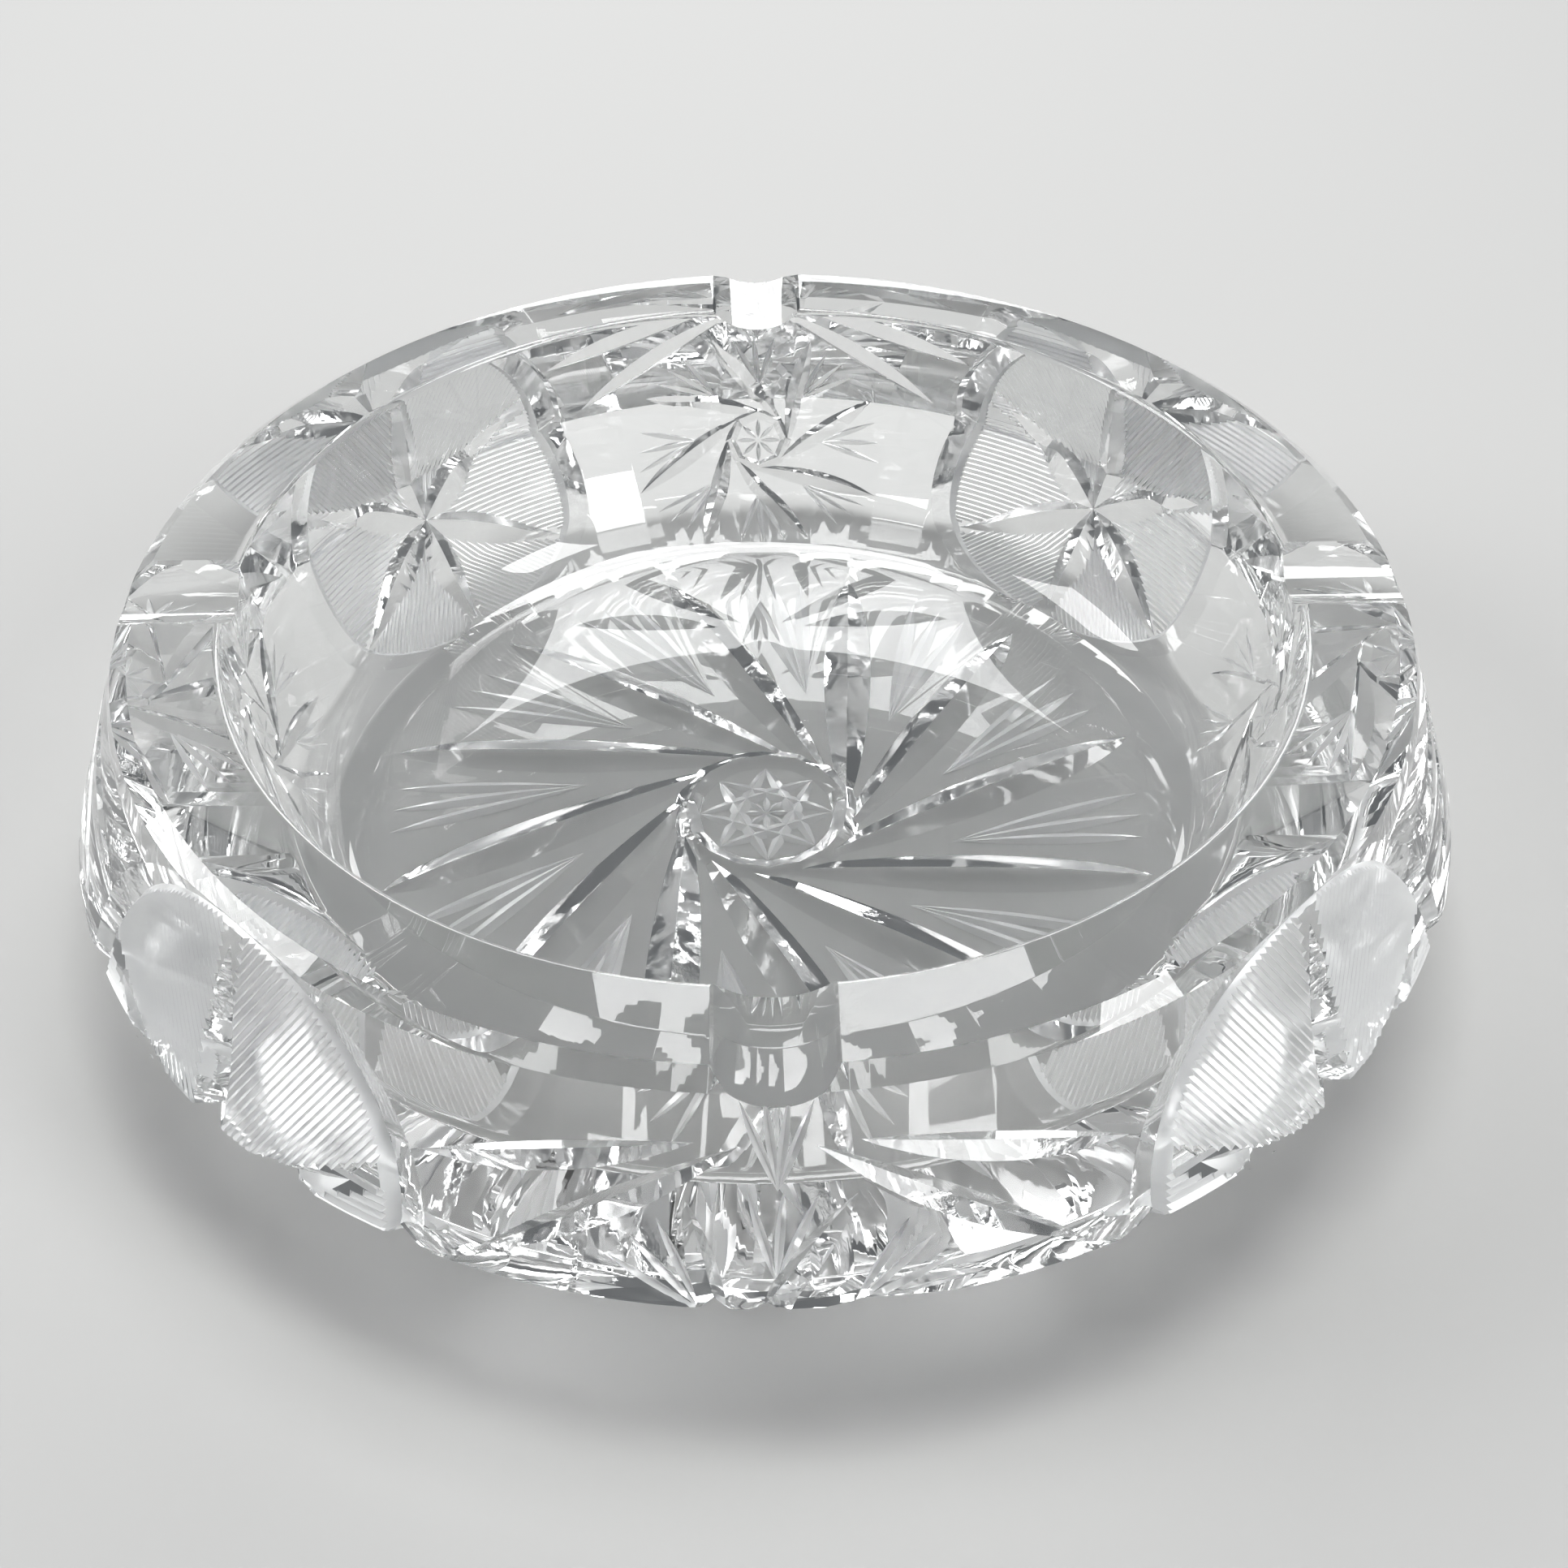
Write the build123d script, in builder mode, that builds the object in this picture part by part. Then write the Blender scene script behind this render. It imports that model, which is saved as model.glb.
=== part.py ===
from build123d import *
import os
from math import atan2, cos, degrees, hypot, radians, sin, sqrt, tan

# Round cut-crystal ashtray, one solid piece of glass.
# Millimetres, +Z up, origin at the centre of the flat base. A rest lies on each of +X, +Y, -X and -Y.

# Outside form: a flat base, a lower wall that spreads to the widest ring, and an upper wall that
# leans back in to the rim
height = 44.0
base_radius = 64.0
widest_radius = 89.0
widest_height = 19.0
rim_radius = 79.5
rim_chamfer = 1.7
base_chamfer = 0.6

# Bowl
bowl_rim_radius = 67.0
bowl_floor_radius = 60.0
floor_thickness = 8.0
bowl_floor_fillet = 10.0
bowl_lip_fillet = 1.0

# Rests: round-bottomed grooves that run across the rim band
rest_count = 4
rest_width = 13.0
rest_depth = 3.0

# Underside: a hub ring, and long leaf-shaped blades that each pass it on the same side
hub_outer_radius = 13.0
hub_inner_radius = 9.2
hub_depth = 1.6
hub_taper = 30.0
blade_count = 12
blade_turn = -2.0
blade_offset = 11.0
blade_root = 2.0
blade_tip_radius = 54.0
blade_depth = 2.4
blade_half_angle = 55.0

# Panel cuts lie on the outside walls. Each pattern's centre is on the lower wall, its climb is
# measured along the wall from the widest ring, a cut's turn is measured from level, anticlockwise
# from outside, and its other places run along the wall.
pattern_climb = -7.8

# Star panels, midway between the rests: six arms, with two framing grooves on each side, which meet
# at the widest ring
star_arms = 6
star_turn = 30.0
star_arm_start = -3.0
star_arm_tip = 25.0
star_arm_depth = 2.6
star_arm_half_angle = 50.0
frame_climb = 26.0
frame_drop = 36.0
frame_azimuth = 23.5
frame_close = 60.0
frame_upper_reach = 42.0
frame_lower_reach = 36.0
frame_depth = 2.6
frame_half_angle = 52.0

# Pinwheel panels, under the rests: two pairs of long leaves that spread from a point below the
# rest, over a small pinwheel
leaf_climb = 21.5
leaf_dips = (11.0, 30.5)
leaf_starts = (9.0, 5.0)
leaf_tips = (40.0, 38.0)
leaf_depth = 1.4
leaf_half_angle = 52.0
pinwheel_blades = 8
pinwheel_turn = 12.7
pinwheel_start = -1.0
pinwheel_tip = 22.0
pinwheel_offset = 5.2
pinwheel_depth = 1.3
pinwheel_half_angle = 50.0

# A cut whose middle is this near the widest ring is made square to the ring, not to one wall
ridge_reach = 3.5
# How far a cutting wheel's flanks are carried above the glass
wheel_clearance = 2.0

rest_radius = (rest_width**2 / 4 + rest_depth**2) / (2 * rest_depth)
rest_length = rim_radius - bowl_rim_radius + 2 * wheel_clearance
rest_middle = 0.5 * (rim_radius + bowl_rim_radius)
rest_step = 360 / rest_count
blade_reach = sqrt(blade_tip_radius**2 - blade_offset**2)
upper_run, upper_rise = rim_radius - widest_radius, height - widest_height
lower_run, lower_rise = widest_radius - base_radius, widest_height


def mitre_wheel(length, depth, half_angle, surface_curvature=0.0):
    """A V-edged cutting wheel that sinks depth into the glass and cuts a leaf length long, along X.

    The glass is below the XY plane. surface_curvature is 1 / radius where it bends away downwards.
    """
    radius = 1 / (8 * depth / length**2 - surface_curvature)
    half_width = (depth + wheel_clearance) * tan(radians(half_angle))
    with BuildPart() as wheel:
        with BuildSketch(Plane.YZ):
            Polygon(
                (0, -depth), (half_width, wheel_clearance), (-half_width, wheel_clearance), align=None
            )
        revolve(axis=Axis((0, 0, radius - depth), (0, 1, 0)))
    return wheel.part


def cut_plane(azimuth, turn, middle, aside=0.0, climb=0.0):
    """The plane of one panel cut: origin on the wall at the cut's middle, X along it, Z outwards."""
    level = middle * cos(radians(turn)) - aside * sin(radians(turn))
    climb = climb + middle * sin(radians(turn)) + aside * cos(radians(turn))
    run, rise = (upper_run, upper_rise) if climb > 0 else (lower_run, lower_rise)
    slant = hypot(run, rise)
    radius = widest_radius + climb * run / slant
    tilt = atan2(-run, rise)
    if abs(climb) < ridge_reach:
        tilt = 0.5 * (atan2(-upper_run, upper_rise) + atan2(-lower_run, lower_rise))
    out = Vector(cos(tilt), 0, sin(tilt))
    along = Vector(0, cos(radians(turn)), 0) + Vector(-sin(tilt), 0, cos(tilt)) * sin(radians(turn))
    origin = Vector(radius, 0, widest_height + climb * rise / slant)
    spot = azimuth + degrees(level / radius)
    return Plane(
        origin=origin.rotate(Axis.Z, spot), x_dir=along.rotate(Axis.Z, spot), z_dir=out.rotate(Axis.Z, spot)
    )


def fan_planes(azimuth, count, first_turn, middle, aside=0.0):
    """The planes of count cuts, evenly turned about a pattern's centre."""
    turns = [first_turn + cut * 360 / count for cut in range(count)]
    return [cut_plane(azimuth, turn, middle, aside, pattern_climb) for turn in turns]


# The turned blank, with its edges eased
with BuildPart() as crystal_dish:
    with BuildSketch(Plane.XZ):
        with BuildLine():
            Polyline(
                (0, 0),
                (base_radius, 0),
                (widest_radius, widest_height),
                (rim_radius, height),
                (bowl_rim_radius, height),
                (bowl_floor_radius, floor_thickness),
                (0, floor_thickness),
                close=True,
            )
        make_face()
    revolve(axis=Axis.Z)
    rings = crystal_dish.edges().filter_by(GeomType.CIRCLE).group_by(Axis.Z)
    fillet(rings[1], bowl_floor_fillet)
    rings = crystal_dish.edges().filter_by(GeomType.CIRCLE).group_by(Axis.Z)
    chamfer(rings[0], base_chamfer)
    rims = crystal_dish.edges().filter_by(GeomType.CIRCLE).group_by(Axis.Z)[-1].sort_by(SortBy.RADIUS)
    chamfer(rims[-1], rim_chamfer)
    fillet(rims[0], bowl_lip_fillet)

    # Rests across the rim band, each a cylinder that lies along a radius
    with PolarLocations(rest_middle, rest_count):
        with Locations((0, 0, height - rest_depth + rest_radius)):
            Cylinder(rest_radius, rest_length, rotation=(0, 90, 0), mode=Mode.SUBTRACT)

    # Underside hub ring and blades
    with BuildSketch(Plane.XY):
        Circle(hub_outer_radius)
        Circle(hub_inner_radius, mode=Mode.SUBTRACT)
    extrude(amount=hub_depth, taper=hub_taper, mode=Mode.SUBTRACT)
    blade_planes = []
    for blade in range(blade_count):
        turn = blade_turn + blade * 360 / blade_count
        middle = Vector(blade_offset, 0.5 * (blade_reach + blade_root), 0).rotate(Axis.Z, turn)
        direction = Vector(0, 1, 0).rotate(Axis.Z, turn)
        blade_planes.append(Plane(origin=middle, x_dir=direction, z_dir=(0, 0, -1)))
    with Locations(*blade_planes):
        add(mitre_wheel(blade_reach - blade_root, blade_depth, blade_half_angle), mode=Mode.SUBTRACT)

    # Star panels
    arm_length = star_arm_tip - star_arm_start
    arm_middle = 0.5 * (star_arm_tip + star_arm_start)
    arm_wheel = mitre_wheel(arm_length, star_arm_depth, star_arm_half_angle, 0.5 / widest_radius)
    upper_wheel = mitre_wheel(frame_upper_reach, frame_depth, frame_half_angle, 0.5 / widest_radius)
    lower_wheel = mitre_wheel(frame_lower_reach, frame_depth, frame_half_angle)
    for star in range(rest_count):
        azimuth = (star + 0.5) * rest_step
        with Locations(*fan_planes(azimuth, star_arms, star_turn, arm_middle)):
            add(arm_wheel, mode=Mode.SUBTRACT)
        upper_planes = []
        for turn in (-frame_drop, 180 + frame_drop):
            upper_planes.append(cut_plane(azimuth, turn, 0.5 * frame_upper_reach, 0, frame_climb))
        with Locations(*upper_planes):
            add(upper_wheel, mode=Mode.SUBTRACT)
        lower_planes = []
        for side in (-1, 1):
            turn = -90 - side * (90 - frame_close)
            lower_planes.append(cut_plane(azimuth + side * frame_azimuth, turn, 0.5 * frame_lower_reach))
        with Locations(*lower_planes):
            add(lower_wheel, mode=Mode.SUBTRACT)

    # Pinwheel panels
    fan_wheel = mitre_wheel(pinwheel_tip - pinwheel_start, pinwheel_depth, pinwheel_half_angle)
    pinwheel_middle = 0.5 * (pinwheel_start + pinwheel_tip)
    fan = []
    for panel in range(rest_count):
        azimuth = panel * rest_step
        for dip, start, tip in zip(leaf_dips, leaf_starts, leaf_tips):
            leaf_wheel = mitre_wheel(tip - start, leaf_depth, leaf_half_angle, 1 / widest_radius)
            middle = 0.5 * (tip + start)
            leaf_planes = [cut_plane(azimuth, turn, middle, 0, leaf_climb) for turn in (-dip, 180 + dip)]
            with Locations(*leaf_planes):
                add(leaf_wheel, mode=Mode.SUBTRACT)
        fan += fan_planes(azimuth, pinwheel_blades, pinwheel_turn, pinwheel_middle, pinwheel_offset)
    # Every other blade, then the rest, so that the wheels of one round don't meet
    for first in (0, 1):
        with Locations(*fan[first::2]):
            add(fan_wheel, mode=Mode.SUBTRACT)

crystal_dish.part.label = "crystal_dish"
os.makedirs("parts", exist_ok=True)
export_step(crystal_dish.part, "parts/crystal_dish.step")
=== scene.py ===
from math import acos, asin, atan2, cos, pi, radians, sin, sqrt, tan

import bmesh
import bpy
from mathutils import Matrix, Vector


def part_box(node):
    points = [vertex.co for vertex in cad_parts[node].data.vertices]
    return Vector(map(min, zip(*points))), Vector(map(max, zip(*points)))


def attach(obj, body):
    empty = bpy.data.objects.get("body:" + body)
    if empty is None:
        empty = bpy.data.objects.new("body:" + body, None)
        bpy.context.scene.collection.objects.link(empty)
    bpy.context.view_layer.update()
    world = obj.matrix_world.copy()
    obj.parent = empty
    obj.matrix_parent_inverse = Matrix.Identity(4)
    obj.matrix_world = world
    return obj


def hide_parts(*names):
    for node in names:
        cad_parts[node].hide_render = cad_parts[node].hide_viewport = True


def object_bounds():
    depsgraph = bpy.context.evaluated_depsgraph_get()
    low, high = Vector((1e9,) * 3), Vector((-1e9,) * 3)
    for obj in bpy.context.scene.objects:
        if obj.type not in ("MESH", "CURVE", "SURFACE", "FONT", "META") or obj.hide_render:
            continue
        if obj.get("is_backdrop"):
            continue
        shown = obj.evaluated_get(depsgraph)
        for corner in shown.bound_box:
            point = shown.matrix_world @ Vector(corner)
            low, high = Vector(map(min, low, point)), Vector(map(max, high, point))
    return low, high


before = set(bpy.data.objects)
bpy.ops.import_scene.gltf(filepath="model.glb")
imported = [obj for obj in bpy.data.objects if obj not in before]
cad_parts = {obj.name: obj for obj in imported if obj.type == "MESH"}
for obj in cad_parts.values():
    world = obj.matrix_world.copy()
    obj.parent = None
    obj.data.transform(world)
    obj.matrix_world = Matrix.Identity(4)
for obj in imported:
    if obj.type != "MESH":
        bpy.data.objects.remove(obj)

cad_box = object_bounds()

# Round cut-crystal ashtray, one piece of clear glass. Sizes are in metres, +Z is up, and a rest
# lies on each of +X, +Y, -X and -Y. The blank is turned, then each cut is ground out of it by a
# cutter whose V edge follows the glass, as a cutting wheel's does.

MM = 0.001
DISH = "crystal_dish"
low, high = (Vector(corner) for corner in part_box(DISH))

# Blank, outside
WIDEST_RADIUS = 0.5 * (high.x - low.x)
HEIGHT = high.z
BASE_RADIUS = 64 * MM
WIDEST_HEIGHT = 19 * MM
RIM_RADIUS = 79.5 * MM
RIM_CHAMFER = 1.7 * MM
BASE_CHAMFER = 0.6 * MM
# Blank, bowl
BOWL_RIM_RADIUS = 67 * MM
BOWL_FLOOR_RADIUS = 60 * MM
FLOOR_THICKNESS = 8 * MM
BOWL_FLOOR_FILLET = 10 * MM
BOWL_LIP_FILLET = 1.0 * MM
TURNED_STEPS = 480
# Rests
RESTS = 4
REST_STEP = 2 * pi / RESTS
REST_WIDTH = 13 * MM
REST_DEPTH = 3.0 * MM

# The two outside walls, in section: from the widest ring up to the rim, and down to the base
UPPER = Vector((RIM_RADIUS - WIDEST_RADIUS, HEIGHT - WIDEST_HEIGHT))
LOWER = Vector((BASE_RADIUS - WIDEST_RADIUS, -WIDEST_HEIGHT))
# The walls' outward directions are blended this far to each side of the widest ring
RIDGE_BLEND = 2.5 * MM
# Panel patterns are centred below the widest ring, which crosses them this far above their centres
RIDGE_AT = 7.8 * MM
# Faces that meet at a smaller angle than this, in degrees, are shaded as one
SMOOTH_BELOW = 22

POLISHED, SATIN, CUT = 0, 1, 2


# ---------------------------------------------------------------- surfaces that cuts follow

def panel(azimuth):
    """The outside of one panel: (u, v) is the run along the ring, and the climb up the walls from
    the pattern's centre."""
    upper_out = Vector((UPPER.y, -UPPER.x)).normalized()
    lower_out = Vector((-LOWER.y, LOWER.x)).normalized()

    def spot(u, v):
        climb = v - RIDGE_AT
        along = (UPPER if climb > 0 else LOWER).normalized() * abs(climb)
        radius, z = WIDEST_RADIUS + along.x, WIDEST_HEIGHT + along.y
        share = min(1, max(0, 0.5 + 0.5 * climb / RIDGE_BLEND))
        share = share * share * (3 - 2 * share)
        out = (upper_out * share + lower_out * (1 - share)).normalized()
        turn = azimuth + u / radius
        point = Vector((radius * cos(turn), radius * sin(turn), z))
        return point, Vector((out.x * cos(turn), out.x * sin(turn), out.y))
    return spot


def underside(turn):
    """The base, seen from above and turned about the middle."""
    def spot(x, y):
        point = Vector((x * cos(turn) - y * sin(turn), x * sin(turn) + y * cos(turn), 0))
        return point, Vector((0, 0, -1))
    return spot


# ---------------------------------------------------------------- cutters

class Cutters:
    """One batch of cutters that don't meet each other, and so cut in one go."""

    def __init__(self):
        self.points, self.faces, self.slots = [], [], []

    def add(self, points, faces, slots):
        first = len(self.points)
        self.points += points
        self.faces += [[first + corner for corner in face] for face in faces]
        self.slots += slots

    def sweep(self, stations, slots=(CUT, CUT), closed=False):
        """A long V-shaped cutter through (edge, left, right) stations."""
        count = len(stations)
        faces, face_slots = [], []
        for i in range(count if closed else count - 1):
            a, b = 3 * i, 3 * ((i + 1) % count)
            faces += [(a, b, b + 1, a + 1), (a + 2, b + 2, b, a), (a + 1, b + 1, b + 2, a + 2)]
            face_slots += [slots[0], slots[1], slots[0]]
        if not closed:
            last = 3 * (count - 1)
            faces += [(0, 1, 2), (last, last + 2, last + 1)]
            face_slots += [slots[0], slots[0]]
        self.add([point for station in stations for point in station], faces, face_slots)


def stations_on(spots, depths, angles, closed=False, clearance=0.5 * MM):
    """The (edge, left, right) stations of a V cut whose edge runs at these depths under spots."""
    count = len(spots)
    made = []
    for i, ((point, out), depth) in enumerate(zip(spots, depths)):
        before = spots[(i - 1) % count if closed else max(i - 1, 0)][0]
        after = spots[(i + 1) % count if closed else min(i + 1, count - 1)][0]
        aside = out.cross((after - before).normalized()).normalized()
        top = point + out * clearance
        left = top + aside * ((depth + clearance) * tan(radians(angles[0])))
        right = top - aside * ((depth + clearance) * tan(radians(angles[1])))
        made.append((point - out * depth, left, right))
    return made


def shares(start, end, steps, first=0.0, last=1.0):
    """Even shares of a line's length, and closer ones where a panel's line crosses the widest ring."""
    made = [first + (last - first) * i / steps for i in range(steps + 1)]
    rise = end[1] - start[1]
    if abs(rise) > MM:
        middle = (RIDGE_AT - start[1]) / rise
        for share in (middle - RIDGE_BLEND / abs(rise), middle, middle + RIDGE_BLEND / abs(rise)):
            if first < share < last:
                made = [other for other in made if abs(other - share) > 0.3 / steps or other in (first, last)]
                made.append(share)
    return sorted(made)


def leaf(batch, spot, start, end, depth, angles=(50, 50), slots=(CUT, CUT), steps=12, lean=0.0, blunt=1.0):
    """A leaf-shaped mitre cut from start to end, deepest midway, or further on with some lean."""
    spots, depths = [], []
    for t in shares(start, end, steps, -0.03, 1.03):
        bent = t + lean * t * (1 - t)
        swell = 1 - (2 * bent - 1) ** 2
        spots.append(spot(*(Vector(start).lerp(Vector(end), t))))
        depths.append(depth * (swell ** blunt if swell > 0 else swell))
    batch.sweep(stations_on(spots, depths, angles), slots)


def groove(batch, spot, path, depths, angles, slots, closed=False, clearance=0.5 * MM):
    """A mitre cut of the given depths along a path."""
    stations = stations_on([spot(*point) for point in path], depths, angles, closed, clearance)
    batch.sweep(stations, slots, closed)


def ring(batch, spot, radius, sides, depth, half_angle, slot, steps_a_side=1):
    """A V groove round a regular polygon, cut side by side."""
    path = []
    for side in range(sides):
        a, b = (2 * pi * (side + k) / sides for k in (0, 1))
        corner, next_corner = (Vector((radius * cos(t), radius * sin(t))) for t in (a, b))
        path += [corner.lerp(next_corner, i / steps_a_side) for i in range(steps_a_side)]
    spots = [spot(*point) for point in path]
    stations = stations_on(spots, [depth] * len(spots), (half_angle, half_angle), True)
    batch.sweep(stations, (slot, slot), True)


# ---------------------------------------------------------------- the blank

def arc(centre, radius, first, last, steps):
    """Points of a fillet, from angle first to angle last, in degrees."""
    turns = [radians(first + (last - first) * i / steps) for i in range(steps + 1)]
    return [(centre[0] + radius * cos(t), centre[1] + radius * sin(t)) for t in turns]


def blank_outline():
    """The turned section, from the middle of the base round to the middle of the bowl's floor."""
    base_way = -LOWER.normalized()
    rim_way = -UPPER.normalized()
    bowl_lean = atan2(BOWL_RIM_RADIUS - BOWL_FLOOR_RADIUS, HEIGHT - FLOOR_THICKNESS)
    outline = [(0, 0), (BASE_RADIUS - BASE_CHAMFER, 0)]
    outline.append((BASE_RADIUS + base_way.x * BASE_CHAMFER, base_way.y * BASE_CHAMFER))
    outline.append((WIDEST_RADIUS, WIDEST_HEIGHT))
    outline.append((RIM_RADIUS + rim_way.x * RIM_CHAMFER, HEIGHT + rim_way.y * RIM_CHAMFER))
    outline.append((RIM_RADIUS - RIM_CHAMFER, HEIGHT))
    lean = bowl_lean * 180 / pi
    # Lip fillet: its centre is a fillet's radius under the rim and outside the bowl's wall
    lip_x = BOWL_RIM_RADIUS + BOWL_LIP_FILLET * (1 / cos(bowl_lean) - tan(bowl_lean))
    outline += arc((lip_x, HEIGHT - BOWL_LIP_FILLET), BOWL_LIP_FILLET, 90, 180 - lean, 6)
    # Floor fillet: its centre is a fillet's radius over the floor and inside the bowl's wall
    floor_x = BOWL_FLOOR_RADIUS + BOWL_FLOOR_FILLET * (tan(bowl_lean) - 1 / cos(bowl_lean))
    floor_centre = (floor_x, FLOOR_THICKNESS + BOWL_FLOOR_FILLET)
    outline += arc(floor_centre, BOWL_FLOOR_FILLET, -lean, -90, 14)
    outline.append((0, FLOOR_THICKNESS))
    return outline


def turned_blank():
    outline = blank_outline()
    points, faces = [], []
    rings = outline[1:-1]
    for radius, z in rings:
        for i in range(TURNED_STEPS):
            turn = 2 * pi * i / TURNED_STEPS
            points.append((radius * cos(turn), radius * sin(turn), z))
    bottom, top = len(points), len(points) + 1
    points += [(0, 0, outline[0][1]), (0, 0, outline[-1][1])]
    for i in range(TURNED_STEPS):
        j = (i + 1) % TURNED_STEPS
        for k in range(len(rings) - 1):
            a, b = k * TURNED_STEPS, (k + 1) * TURNED_STEPS
            faces.append((a + i, a + j, b + j, b + i))
        last = (len(rings) - 1) * TURNED_STEPS
        faces.append((bottom, j, i))
        faces.append((top, last + i, last + j))
    mesh = bpy.data.meshes.new("blank")
    mesh.from_pydata(points, [], faces)
    return mesh


# ---------------------------------------------------------------- the cuts, batch by batch

def rest_batch():
    """Round-bottomed grooves across the rim band."""
    batch = Cutters()
    radius = (REST_WIDTH ** 2 / 4 + REST_DEPTH ** 2) / (2 * REST_DEPTH)
    axis_z = HEIGHT - REST_DEPTH + radius
    near, far = BOWL_RIM_RADIUS - 6 * MM, RIM_RADIUS + 6 * MM
    sides = 72
    for rest in range(RESTS):
        turn = Matrix.Rotation(rest * REST_STEP, 3, "Z")
        points = []
        for x in (near, far):
            for i in range(sides):
                t = 2 * pi * i / sides
                points.append(turn @ Vector((x, radius * cos(t), axis_z + radius * sin(t))))
        faces = [tuple(reversed(range(sides))), tuple(range(sides, 2 * sides))]
        for i in range(sides):
            j = (i + 1) % sides
            faces.append((i, j, sides + j, sides + i))
        batch.add(points, faces, [POLISHED] * len(faces))
    return batch


BLADES = 12
BLADE_TURN = radians(-3)
BLADE_OFFSET = 11 * MM
BLADE_ROOT = 1.5 * MM
BLADE_TIP_RADIUS = 54 * MM
BLADE_DEPTH = 2.45 * MM
FAN_APEX_RADIUS = 26 * MM
FAN_TIP_RADIUS = 52 * MM
FAN_DEPTH = 0.9 * MM
# How far round from a blade its fan's apex is, at the same radius, and its fan's tips from its tip
FAN_APEX_TURN = radians(14)
FAN_TIP_TURNS = (8, 12.8, 17.6)
HUB_RING_RADIUS = 11.2 * MM
HUB_RING_DEPTH = 1.5 * MM
HUB_STAR_RADIUS = 9.2 * MM
HUB_STRAP_DEPTH = 0.8 * MM


def underside_batches():
    """Twelve blades past a hub, fans of three fine cuts between them, and an eight-point hub star."""
    reach = sqrt(BLADE_TIP_RADIUS ** 2 - BLADE_OFFSET ** 2)
    batches = []
    for half in (0, 1):
        batch = Cutters()
        for blade in range(half, BLADES, 2):
            spot = underside(BLADE_TURN + 2 * pi * blade / BLADES)
            leaf(batch, spot, (BLADE_OFFSET, BLADE_ROOT), (BLADE_OFFSET, reach), BLADE_DEPTH, (55, 55),
                 steps=24, lean=-0.3, blunt=0.75)
        batches.append(batch)
    # Fans: each spreads from one point between two blades
    blade_tip_turn = acos(BLADE_OFFSET / BLADE_TIP_RADIUS)
    fan_turn = acos(BLADE_OFFSET / FAN_APEX_RADIUS) + FAN_APEX_TURN
    apex = Vector((cos(fan_turn), sin(fan_turn))) * FAN_APEX_RADIUS
    for spread in FAN_TIP_TURNS:
        batch = Cutters()
        tip_turn = blade_tip_turn + radians(spread)
        tip = Vector((cos(tip_turn), sin(tip_turn))) * FAN_TIP_RADIUS
        for fan in range(BLADES):
            spot = underside(BLADE_TURN + 2 * pi * fan / BLADES)
            leaf(batch, spot, apex, tip, FAN_DEPTH, (50, 50), (SATIN, SATIN), steps=14, lean=-0.3)
        batches.append(batch)
    batch = Cutters()
    ring(batch, underside(0), HUB_RING_RADIUS, 16, HUB_RING_DEPTH, 52, CUT)
    batches.append(batch)
    # Hub star: straps that join every third of eight points, and short rays in the middle
    points = [HUB_STAR_RADIUS * Vector((cos(pi * k / 4), sin(pi * k / 4))) for k in range(8)]
    for k in range(4):
        batch = Cutters()
        for strap in (k, k + 4):
            leaf(batch, underside(0), points[strap], points[(strap + 3) % 8], HUB_STRAP_DEPTH, (52, 52),
                 (SATIN, SATIN), steps=10, blunt=0.6)
        batches.append(batch)
    batch = Cutters()
    for k in range(8):
        way = Vector((cos(pi * k / 4), sin(pi * k / 4)))
        leaf(batch, underside(0), way * 0.3 * MM, way * 3.4 * MM, 0.6 * MM, (40, 40), (SATIN, SATIN), steps=6)
    batches.append(batch)
    return batches


ARMS = 6
ARM_START = -3 * MM
ARM_TIPS = (25 * MM, 31 * MM, 25 * MM, 25 * MM, 22 * MM, 25 * MM)
ARM_DEPTH = 2.6 * MM
# The star panel's outline is an ellipse whose middle is a little above the star's
OUTLINE_RUN = 28.2 * MM
OUTLINE_CLIMB = 29.0 * MM
OUTLINE_MIDDLE = 4.3 * MM
HATCH_PITCH = 0.9 * MM
HATCH_DEPTH = 0.42 * MM
HATCH_CLEARANCE = 0.3 * MM
# Hatching starts this far out from the star's centre
HATCH_START = 3.2 * MM
# Hatch lines counted to each side of a sector's middle, before short ones are dropped
HATCH_COUNT = 18


def inside_outline(spot):
    """Whether a place in a star panel's pattern is inside its outline."""
    return (spot.x / OUTLINE_RUN) ** 2 + ((spot.y - OUTLINE_MIDDLE) / OUTLINE_CLIMB) ** 2 < 1


def hatch_lines(bisector):
    """The start and end of each fine cut of one sector: parallel to its bisector, and kept
    between the two arms beside it and inside the outline."""
    way = Vector((cos(bisector), sin(bisector)))
    side = Vector((-way.y, way.x))
    made = []
    for k in range(-HATCH_COUNT, HATCH_COUNT + 1):
        offset = side * (k * HATCH_PITCH)
        start = abs(k) * HATCH_PITCH / tan(pi / ARMS) + HATCH_START
        end = start
        while inside_outline(offset + way * (end + 0.25 * MM)):
            end += 0.25 * MM
        if end - start > 1.5 * MM:
            made.append((offset + way * start, offset + way * end))
    return made


def outline_ring(batch, azimuth):
    """The star panel's framing groove: a narrow satin wall inside and a wide polished one outside,
    deepest at the sides."""
    turns = [2 * pi * i / 72 for i in range(72)]
    crossing = asin((RIDGE_AT - OUTLINE_MIDDLE) / OUTLINE_CLIMB)
    for turn in (crossing, pi - crossing):
        turns = [other for other in turns if abs(other - turn) > pi / 100] + [turn]
    turns.sort()
    path = [(OUTLINE_RUN * cos(t), OUTLINE_MIDDLE + OUTLINE_CLIMB * sin(t)) for t in turns]
    depths = [(0.45 + 1.2 * abs(cos(t)) ** 1.5) * MM for t in turns]
    groove(batch, panel(azimuth), path, depths, (42, 68), (SATIN, CUT), closed=True)


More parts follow.
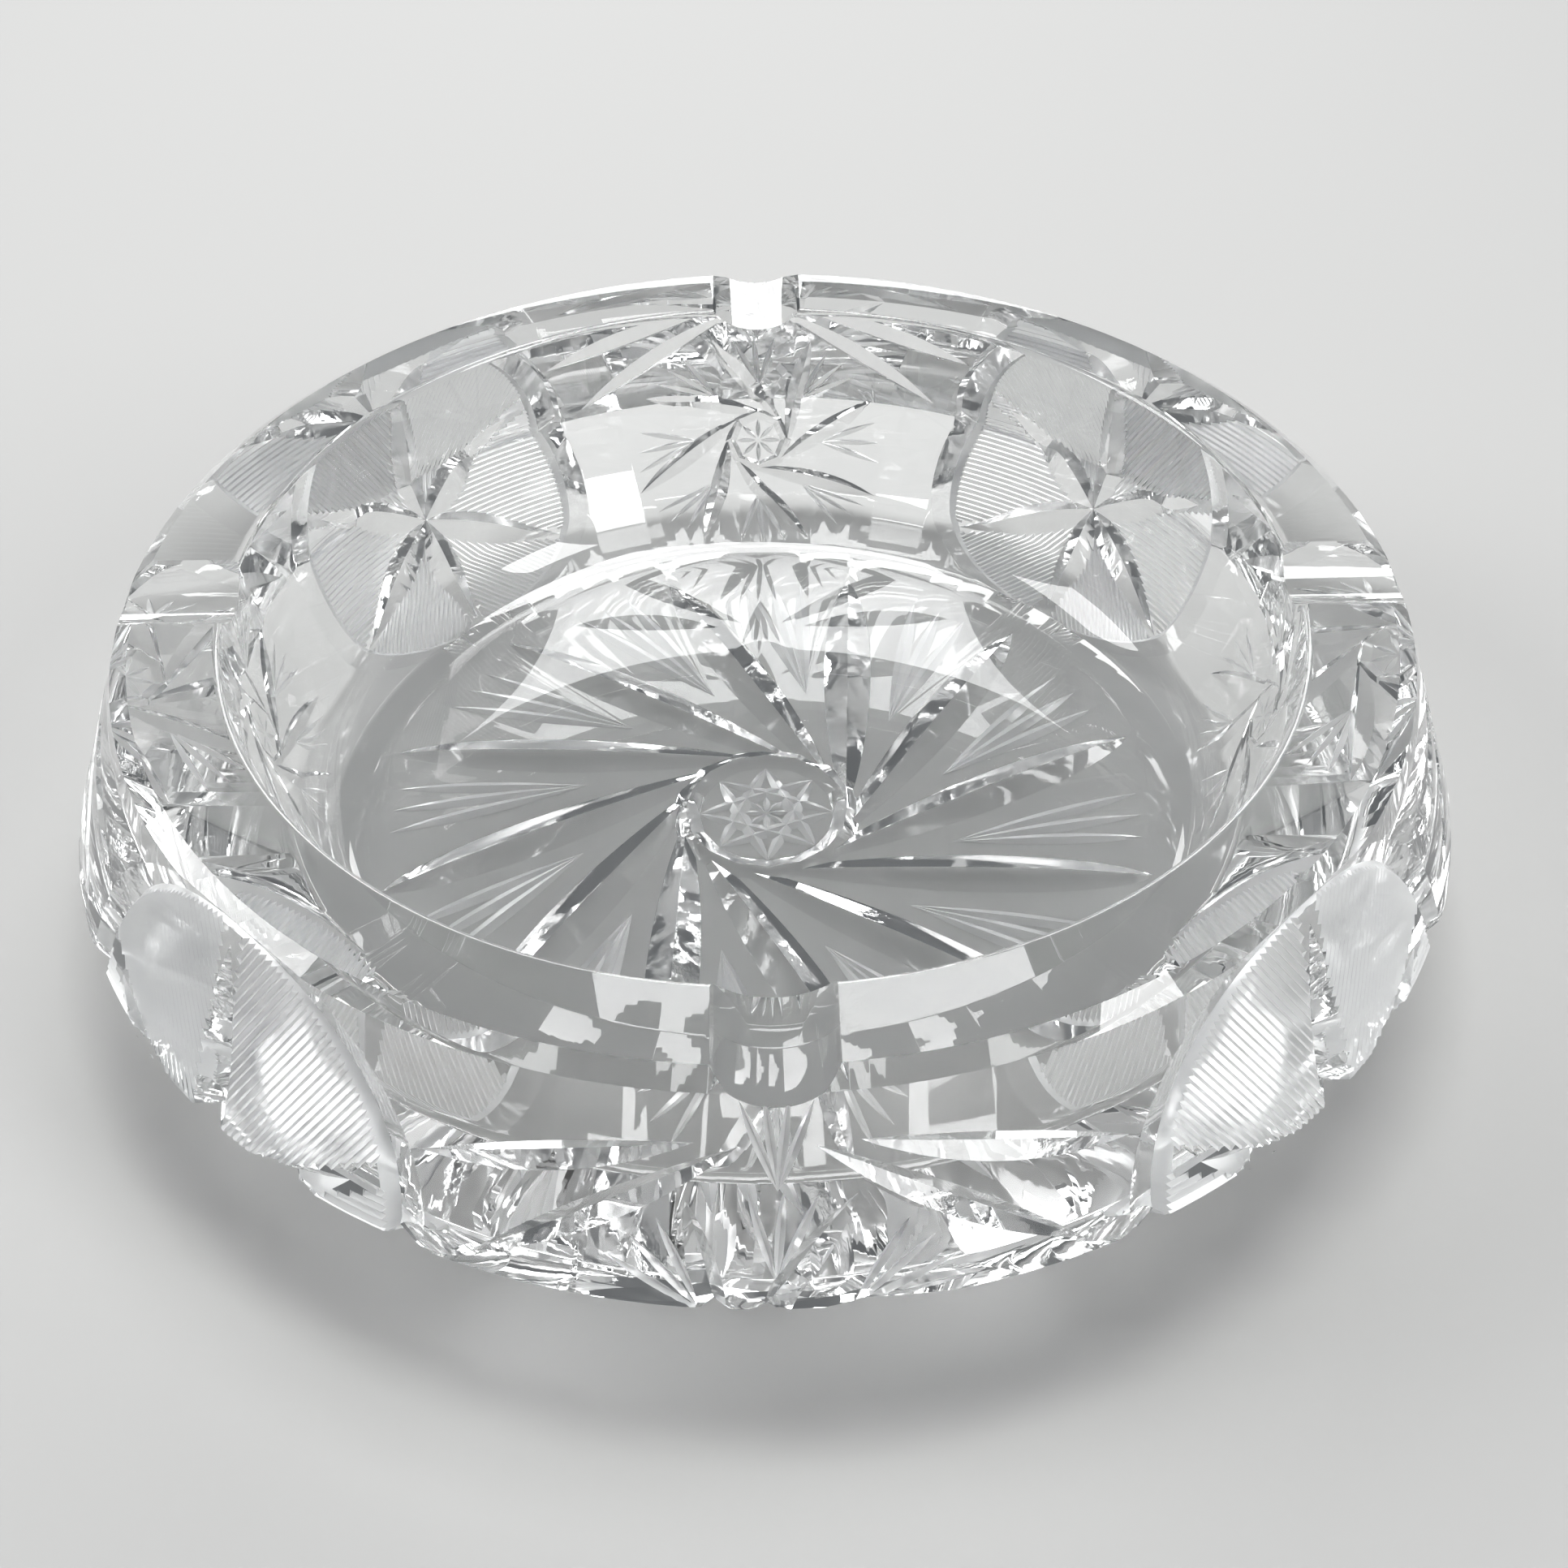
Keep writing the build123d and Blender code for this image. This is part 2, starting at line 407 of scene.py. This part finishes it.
def star_batches():
    """Six arms, fine parallel cuts between them, and a framing groove."""
    azimuths = [(star + 0.5) * REST_STEP for star in range(RESTS)]
    batches = []
    # Hatching first, so that the arms cut its ends clean. A round takes every other sector, and
    # every other line of each, so that its cutters don't meet
    for first in range(4):
        batch = Cutters()
        for azimuth in azimuths:
            for sector in range(first % 2, ARMS, 2):
                lines = hatch_lines(sector * 2 * pi / ARMS)
                for start, end in lines[first // 2::2]:
                    steps = max(2, round((end - start).length / (3 * MM)))
                    path = [start.lerp(end, share) for share in shares(start, end, steps)]
                    groove(batch, panel(azimuth), path, [HATCH_DEPTH] * len(path), (46, 46),
                           (SATIN, SATIN), clearance=HATCH_CLEARANCE)
        batches.append(batch)
    for arm, tip in enumerate(ARM_TIPS):
        batch = Cutters()
        turn = 2 * pi * (arm + 0.5) / ARMS
        way = Vector((cos(turn), sin(turn)))
        for azimuth in azimuths:
            leaf(batch, panel(azimuth), way * ARM_START, way * tip, ARM_DEPTH, (50, 50), steps=16, lean=0.2)
        batches.append(batch)
    batch = Cutters()
    for azimuth in azimuths:
        outline_ring(batch, azimuth)
    batches.append(batch)
    return batches


LEAF_CLIMB = 21.5 * MM + RIDGE_AT
# Each pair of leaves: their turn from level in degrees, and their start and end in millimetres
LEAVES = ((-14, 8.5, 38.5), (-31, 4.5, 38))
LEAF_DEPTH = 1.35 * MM
SWIRL_BLADES = 8
SWIRL_TURN = radians(11)
SWIRL_TIP = 22 * MM
SWIRL_OFFSET = 5.2 * MM
SWIRL_DEPTH = 1.3 * MM
SWIRL_RING = 5.0 * MM


def swirl_batches():
    """Leaves that spread from below the rest, over a small pinwheel."""
    azimuths = [rest * REST_STEP for rest in range(RESTS)]
    batches = []
    for dip, start, end in LEAVES:
        for turn in (radians(dip), pi - radians(dip)):
            batch = Cutters()
            way = Vector((cos(turn), sin(turn)))
            origin = Vector((0, LEAF_CLIMB))
            for azimuth in azimuths:
                leaf(batch, panel(azimuth), origin + way * start * MM, origin + way * end * MM, LEAF_DEPTH,
                     (52, 52), steps=20)
            batches.append(batch)
    # A short fan under the rest
    for cut in range(4):
        batch = Cutters()
        turn = radians(90 + (cut - 1.5) * 13)
        way = Vector((cos(turn), sin(turn)))
        origin = Vector((0, RIDGE_AT + 14 * MM))
        for azimuth in azimuths:
            leaf(batch, panel(azimuth), origin, origin + way * 11 * MM, 0.5 * MM, (46, 46),
                 (SATIN, SATIN), steps=8)
        batches.append(batch)
    # Small pinwheel: blades, fans of three fine cuts, a ring, and petals inside it
    step = 2 * pi / SWIRL_BLADES
    for half in (0, 1):
        batch = Cutters()
        for blade in range(half, SWIRL_BLADES, 2):
            turn = SWIRL_TURN + blade * step
            way = Vector((cos(turn), sin(turn)))
            aside = Vector((-way.y, way.x)) * SWIRL_OFFSET
            for azimuth in azimuths:
                leaf(batch, panel(azimuth), aside - way * 1.0 * MM, aside + way * SWIRL_TIP, SWIRL_DEPTH,
                     (52, 52), steps=14, lean=-0.2)
        batches.append(batch)
    for cut in (1, 2, 3):
        batch = Cutters()
        for fan in range(SWIRL_BLADES):
            turn = SWIRL_TURN + (fan + 0.5) * step + radians(13)
            apex = Vector((cos(turn), sin(turn))) * 11 * MM
            tip_turn = turn + radians(-3) + (cut - 2) * radians(9.5)
            tip = Vector((cos(tip_turn), sin(tip_turn))) * 22 * MM
            for azimuth in azimuths:
                leaf(batch, panel(azimuth), apex, tip, 0.5 * MM, (46, 46), (SATIN, SATIN), steps=8)
        batches.append(batch)
    batch = Cutters()
    for azimuth in azimuths:
        ring(batch, panel(azimuth), SWIRL_RING, 8, 0.8 * MM, 50, CUT, 4)
    batches.append(batch)
    batch = Cutters()
    for azimuth in azimuths:
        for petal in range(8):
            way = Vector((cos(petal * pi / 4), sin(petal * pi / 4)))
            leaf(batch, panel(azimuth), way * 0.4 * MM, way * 4 * MM, 0.5 * MM, (40, 40),
                 (SATIN, SATIN), steps=6)
    batches.append(batch)
    return batches


def cut_away(piece, batch, materials):
    """Grinds one batch of cutters out of the piece."""
    mesh = bpy.data.meshes.new("cutters")
    mesh.from_pydata([tuple(point) for point in batch.points], [], batch.faces)
    for material in materials:
        mesh.materials.append(material)
    mesh.polygons.foreach_set("material_index", batch.slots)
    outward(mesh)
    cutter = bpy.data.objects.new("cutters", mesh)
    bpy.context.scene.collection.objects.link(cutter)
    modifier = piece.modifiers.new("cut", "BOOLEAN")
    modifier.operation = "DIFFERENCE"
    modifier.solver = "MANIFOLD"
    modifier.object = cutter
    graph = bpy.context.evaluated_depsgraph_get()
    done = bpy.data.meshes.new_from_object(piece.evaluated_get(graph))
    piece.modifiers.clear()
    old = piece.data
    piece.data = done
    bpy.data.meshes.remove(old)
    bpy.data.objects.remove(cutter)
    bpy.data.meshes.remove(mesh)


def outward(mesh):
    """Turns every closed part's faces outwards."""
    made = bmesh.new()
    made.from_mesh(mesh)
    bmesh.ops.recalc_face_normals(made, faces=made.faces)
    made.to_mesh(mesh)
    made.free()


def cut_dish(materials):
    mesh = turned_blank()
    outward(mesh)
    for material in materials:
        mesh.materials.append(material)
    piece = bpy.data.objects.new("cut_crystal_dish", mesh)
    bpy.context.scene.collection.objects.link(piece)
    for batch in [rest_batch()] + underside_batches() + star_batches() + swirl_batches():
        cut_away(piece, batch, materials)
    for polygon in piece.data.polygons:
        polygon.use_smooth = True
    piece.data.set_sharp_from_angle(angle=radians(SMOOTH_BELOW))
    return piece


# ---------------------------------------------------------------- materials

def glass(name, roughness, grain, bump, clear=1.0):
    """Lead glass whose gloss and surface vary a little from place to place; what isn't clear of it
    is diffuse, as ground glass is."""
    material = bpy.data.materials.new(name)
    material.use_nodes = True
    nodes, links = material.node_tree.nodes, material.node_tree.links
    shader = nodes["Principled BSDF"]
    shader.inputs["Base Color"].default_value = (0.985, 0.992, 0.99, 1)
    shader.inputs["Transmission Weight"].default_value = clear
    shader.inputs["IOR"].default_value = 1.545
    place = nodes.new("ShaderNodeTexCoord")
    noise = nodes.new("ShaderNodeTexNoise")
    noise.inputs["Scale"].default_value = grain
    noise.inputs["Detail"].default_value = 4.0
    links.new(place.outputs["Object"], noise.inputs["Vector"])
    spread = nodes.new("ShaderNodeMapRange")
    spread.inputs["From Min"].default_value = 0.35
    spread.inputs["From Max"].default_value = 0.75
    spread.inputs["To Min"].default_value = roughness[0]
    spread.inputs["To Max"].default_value = roughness[1]
    links.new(noise.outputs["Fac"], spread.inputs["Value"])
    links.new(spread.outputs["Result"], shader.inputs["Roughness"])
    relief = nodes.new("ShaderNodeBump")
    relief.inputs["Strength"].default_value = bump[0]
    relief.inputs["Distance"].default_value = bump[1] * MM
    links.new(noise.outputs["Fac"], relief.inputs["Height"])
    links.new(relief.outputs["Normal"], shader.inputs["Normal"])
    return material


# ---------------------------------------------------------------- the scene

crystal = [
    glass("polished_crystal", (0.0, 0.02), 90, (0.05, 0.05)),
    glass("satin_crystal", (0.12, 0.24), 1400, (0.2, 0.03), 0.6),
    glass("cut_crystal", (0.0, 0.05), 420, (0.3, 0.06), 0.94),
]
dish = cut_dish(crystal)
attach(dish, "root")
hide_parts(DISH)


# The floor lies this far below the base, so that the two don't share a plane
FLOOR_GAP = 0.1 * MM


def floor():
    mesh = bpy.data.meshes.new("floor")
    reach = 6.0
    corners = [(x * reach, y * reach, -FLOOR_GAP) for x, y in ((-1, -1), (1, -1), (1, 1), (-1, 1))]
    mesh.from_pydata(corners, [], [(0, 1, 2, 3)])
    piece = bpy.data.objects.new("floor", mesh)
    bpy.context.scene.collection.objects.link(piece)
    material = bpy.data.materials.new("pale_floor")
    material.use_nodes = True
    shader = material.node_tree.nodes["Principled BSDF"]
    shader.inputs["Base Color"].default_value = (0.40, 0.40, 0.395, 1)
    shader.inputs["Roughness"].default_value = 0.75
    mesh.materials.append(material)
    piece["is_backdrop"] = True


def softbox(name, place, size, power, aim=(0, 0, 0.02)):
    light = bpy.data.lights.new(name, "AREA")
    light.shape = "RECTANGLE"
    light.size, light.size_y = size
    light.energy = power
    lamp = bpy.data.objects.new(name, light)
    lamp.location = place
    lamp.rotation_euler = (Vector(aim) - Vector(place)).to_track_quat("-Z", "Y").to_euler()
    bpy.context.scene.collection.objects.link(lamp)


floor()
softbox("top_light", (0.1, 0.25, 1.1), (0.7, 0.5), 12)
softbox("left_light", (-1.0, 0.1, 0.6), (0.5, 0.7), 9.5)
softbox("right_light", (0.9, -0.5, 0.7), (0.35, 0.6), 7)
softbox("back_light", (0.0, 1.2, 0.5), (1.0, 0.35), 8)
world = bpy.data.worlds.new("studio")
world.use_nodes = True
world.node_tree.nodes["Background"].inputs["Color"].default_value = (0.75, 0.8, 0.85, 1)
world.node_tree.nodes["Background"].inputs["Strength"].default_value = 0.12
bpy.context.scene.world = world

# Camera: where the photograph was taken from, and its tilt and lens
CAMERA_RISE = radians(37.05)
CAMERA_DISTANCE = 3.233 * RIM_RADIUS
CAMERA_TILT = radians(42.72)
CAMERA_SIDE = radians(-0.43)
CAMERA_PAN = radians(-1.11)
CAMERA_ROLL = radians(-0.30)
camera_data = bpy.data.cameras.new("camera")
camera_data.sensor_width = 36
camera_data.lens = 46.87
camera = bpy.data.objects.new("camera", camera_data)
back = Vector((0, -CAMERA_DISTANCE * cos(CAMERA_RISE), CAMERA_DISTANCE * sin(CAMERA_RISE)))
camera.location = Vector((0, 0, HEIGHT)) + Matrix.Rotation(CAMERA_SIDE, 3, "Z") @ back
aim = Matrix.Rotation(CAMERA_PAN, 3, "Z") @ Matrix.Rotation(pi / 2 - CAMERA_TILT, 3, "X")
camera.rotation_euler = (aim @ Matrix.Rotation(CAMERA_ROLL, 3, "Z")).to_euler()
bpy.context.scene.collection.objects.link(camera)
bpy.context.scene.camera = camera

scene = bpy.context.scene
scene.cycles.use_denoising = True
scene.cycles.max_bounces = 24
scene.cycles.transmission_bounces = 20
scene.cycles.glossy_bounces = 12
scene.view_settings.view_transform = "Standard"

boxes = {"cad": cad_box, "visual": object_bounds()}
{name: [list(corner) for corner in box] for name, box in boxes.items()}
